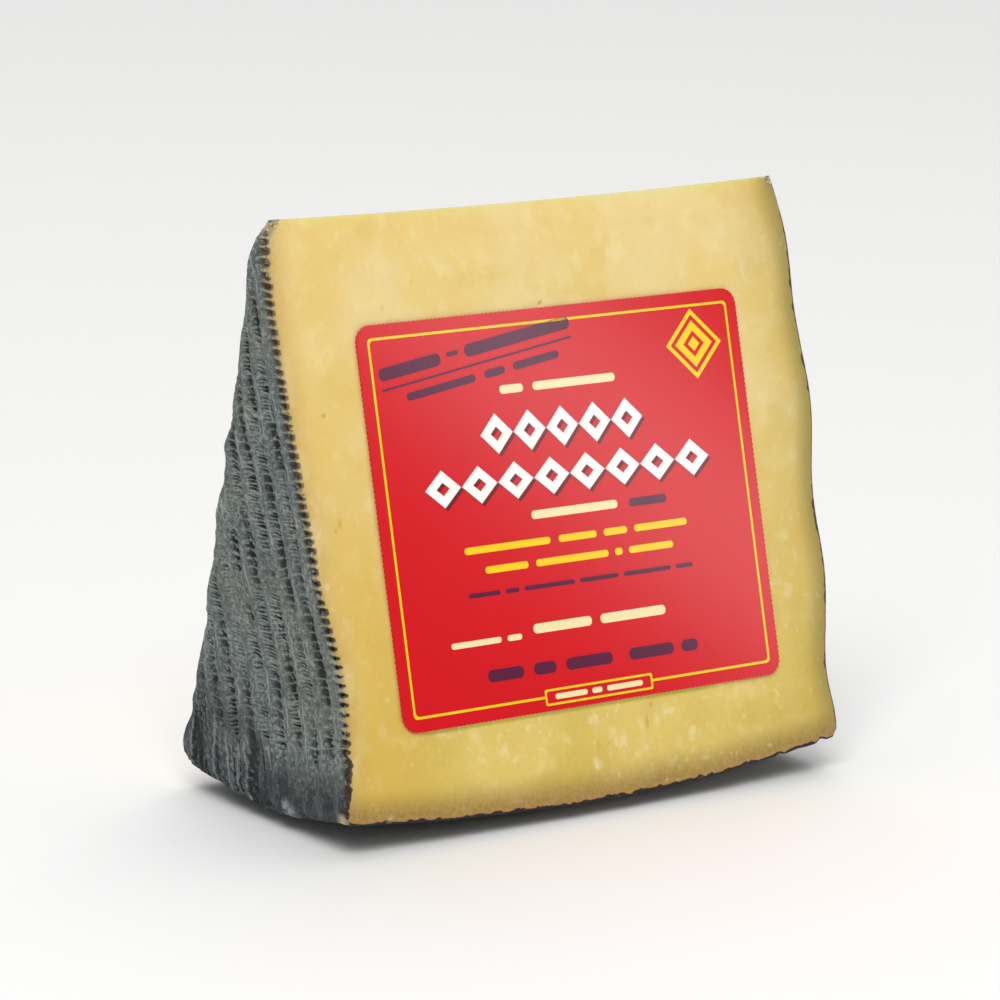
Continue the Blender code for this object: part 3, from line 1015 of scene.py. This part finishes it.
def rind_material():
    shader = Shader("rind", IOR=1.48, Coat_Weight=0.08, Coat_Roughness=0.35)
    noise, ramp, times, paint = shader.noise, shader.ramp, shader.times, shader.paint
    pit, pale, cut, rim = (shader.attribute(name) for name in ("pit", "pale", "from_cut", "from_rim"))
    clouds = noise(9, 3)
    shader.tone = shader.mix(ramp(clouds, 0.4, 0.6), (94, 104, 103), (104, 110, 102))
    patches = ramp(noise(3, 3, (1, 1, 1), 0.6), 0.46, 0.32, 0, 0.5)
    paint(patches, (72, 79, 80))
    hidden = times(ramp(cut, 14, 29, 0, 0.8), ramp(rim, 8, 18, 1, 0))
    low = shader.math("MAXIMUM", hidden, ramp(rim, 2.5, 8, 1, 0))
    low = times(low, ramp(noise(2, 3, (1, 1, 2), 0.6), 0.62, 0.45, 0.66, 1))
    paint(low, (26, 35, 41))
    mottle = noise(0.55, 4, (1, 1, 1), 0.65)
    lit = shader.mix(low, (160, 168, 164), (82, 92, 96))
    paint(ramp(mottle, 0.52, 0.64, 0, 0.6), lit)
    paint(ramp(mottle, 0.48, 0.36, 0, 0.65), (52, 58, 59))
    # Pits darker with depth: partly dark mould and brown in them, partly painted shade of the hollows. This
    # darkens the underside's belt grooves too.
    beside_cut = ramp(cut, 0.9, 2.4, 1, 0)
    brown = shader.mix(ramp(rim, 22, 46), (48, 34, 25), (108, 88, 68))
    dark = shader.mix(beside_cut, (26, 31, 33), brown)
    paint(ramp(pit, 0.16, 0.6, 0, 0.97), dark)
    floor = shader.mix(beside_cut, (74, 82, 82), (112, 94, 68))
    shown = shader.math("ADD", ramp(mottle, 0.46, 0.56, 0.1, 0.75), times(beside_cut, 0.25))
    seen = times(ramp(pit, 0.74, 0.96), shown, ramp(rim, 4, 8, 0.6, 1))
    paint(seen, floor)
    # Paler where the print is pale: partly the cloth's pale fibres, partly painted highlights on rungs, rib
    # edges and the rims of bubbles.
    edge = shader.mix(low, (170, 177, 171), (126, 135, 136))
    paint(ramp(pale, 0.15, 0.8, 0, 0.72), edge)
    line = shader.math("ABSOLUTE", shader.math("SUBTRACT", noise(1.6, 2, (1, 1, 1.6)), 0.5))
    paint(ramp(line, 0, 0.014, 0.4, 0), edge)
    tip = times(ramp(cut, 1.2, 2.6, 0.9, 0), ramp(rim, 0.8, 1.6, 1, 0))
    cream = shader.math("MAXIMUM", tip, ramp(cut, 0.1, 1.3, 0.7, 0))
    cream = times(cream, ramp(pit, 0.5, 0.12))
    paint(cream, (198, 180, 142))
    mould = shader.math("MAXIMUM", *(near(shader, *spot) for spot in MOULD))
    mould = times(mould, ramp(noise(0.8, 4, (1, 1, 1), 0.7), 0.4, 0.56))
    paint(mould, (158, 167, 168))
    fine = noise(0.3, 4, (1, 1, 1), 0.65)
    rough = ramp(mottle, 0.3, 0.7, 0.42, 0.7)
    normal = shader.bump(fine, 0.15)
    normal = shader.bump(mottle, 0.3, under=normal)
    return shader.finish(Roughness=rough, Normal=normal)


def ink_material(name, ink, under):
    shader = Shader("ink_" + name, IOR=1.5, Specular_IOR_Level=0.2, Roughness=0.16)
    shader.tone = shader.mix(shader.ramp(shader.noise(5, 3), 0.45, 0.7, 0, 0.12), ink, under)
    return shader.finish(Normal=shader.bump(shader.noise(0.8), 0.004))


def floor_material():
    shader = Shader("studio_floor", Roughness=0.8)
    shader.tone = shader.mix(shader.noise(400), (246, 246, 245), (249, 249, 248))
    return shader.finish()


def add_floor():
    """A pale sweep: level under the wedge, and turned up far behind it."""
    bend = [(2 + math.sin(angle), 1 - math.cos(angle)) for angle in np.linspace(0, math.pi / 2, 24)]
    profile = [(-3, 0), *bend, (3, 6)]
    turn = Matrix.Rotation(CAMERA_AZIMUTH, 3, "Z")
    points = [turn @ Vector((x, y, z)) for x in (-6, 6) for y, z in profile]
    count = len(profile)
    faces = [(k, k + 1, count + k + 1, count + k) for k in range(count - 1)]
    mesh = bpy.data.meshes.new("floor")
    mesh.from_pydata(points, [], faces)
    mesh.shade_smooth()
    mesh.materials.append(floor_material())
    floor = add_object("floor", mesh)


def camera_axes():
    """The camera's directions: right, up and back, away from what it looks at."""
    level = np.array((math.cos(CAMERA_AZIMUTH), math.sin(CAMERA_AZIMUTH), 0))
    back = np.array((level[1], -level[0], 0)) * math.cos(CAMERA_ELEVATION)
    back[2] = math.sin(CAMERA_ELEVATION)
    upright = np.cross(back, level)
    right = level * math.cos(CAMERA_ROLL) + upright * math.sin(CAMERA_ROLL)
    up = upright * math.cos(CAMERA_ROLL) - level * math.sin(CAMERA_ROLL)
    return right, up, back


def add_camera():
    right, up, back = camera_axes()
    target = np.array((APEX[0], APEX[1], CAMERA_TARGET_HEIGHT))
    target = target + right * CAMERA_ASIDE[0] + up * CAMERA_ASIDE[1]
    data = bpy.data.cameras.new("camera")
    data.lens = 180
    data.sensor_width = 36
    data.clip_start = 0.01
    camera = add_object("camera", data)
    matrix = Matrix(np.stack((right, up, back), 1).tolist()).to_4x4()
    matrix.translation = (target + back * CAMERA_DISTANCE).tolist()
    camera.matrix_world = matrix
    bpy.context.scene.camera = camera


def add_light(name, aside, up, back, size, power, length=None, turn=0):
    """A soft light, placed from the camera's side of the wedge and aimed at its middle.

    A long one is turned, from upright, by an angle about its own axis.
    """
    right_axis, _, back_axis = camera_axes()
    place_at = right_axis * aside + back_axis * (back, back, 0) + (0, 0, up)
    data = bpy.data.lights.new(name, "AREA")
    data.shape = "RECTANGLE"
    data.size = size
    data.size_y = length or size
    data.energy = power
    light = add_object(name, data)
    light.location = place_at.tolist()
    facing = (LIT_POINT - light.location).to_track_quat("-Z", "Y").to_matrix()
    light.rotation_euler = (facing @ Matrix.Rotation(turn, 3, "Z")).to_euler()


def add_lights():
    world = bpy.data.worlds.new("studio")
    world.use_nodes = True
    background = world.node_tree.nodes["Background"]
    background.inputs["Color"].default_value = (1, 1, 1, 1)
    background.inputs["Strength"].default_value = 0.32
    bpy.context.scene.world = world
    add_light("key", -0.1, 1.25, 1.05, 0.9, 15.8)
    add_light("strip", 0.44, 0.127, 0.114, 0.04, 0.132, length=0.16, turn=math.radians(34))
    add_light("overhead", 0, 1.6, -0.9, 1.8, 14)


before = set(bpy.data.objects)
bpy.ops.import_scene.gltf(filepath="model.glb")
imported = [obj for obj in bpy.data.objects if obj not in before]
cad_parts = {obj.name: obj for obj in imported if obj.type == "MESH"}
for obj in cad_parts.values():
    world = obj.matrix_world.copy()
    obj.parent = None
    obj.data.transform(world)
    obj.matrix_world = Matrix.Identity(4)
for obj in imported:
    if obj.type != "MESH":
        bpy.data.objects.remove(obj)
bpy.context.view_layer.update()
label_low, label_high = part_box("label")
APEX = (np.array(label_low) + np.array(label_high)) / 2
APEX = APEX - (LABEL_OFFSET, 0, 0) - DOWN * LABEL_DOWN - OUT * LABEL_MIDDLE_OUT

bpy.context.scene.view_settings.view_transform = "Standard"
rind = rind_material()
add_camera()
add_paste(paste_material())
add_end(LEFT, rind)
add_end(RIGHT, rind)
add_base(rind)
add_crumbs(crumb_material())
inks = {name: ink_material(name, *tones) for name, tones in INKS.items()}
add_label(inks["red"])
add_print(inks)
add_floor()
add_lights()
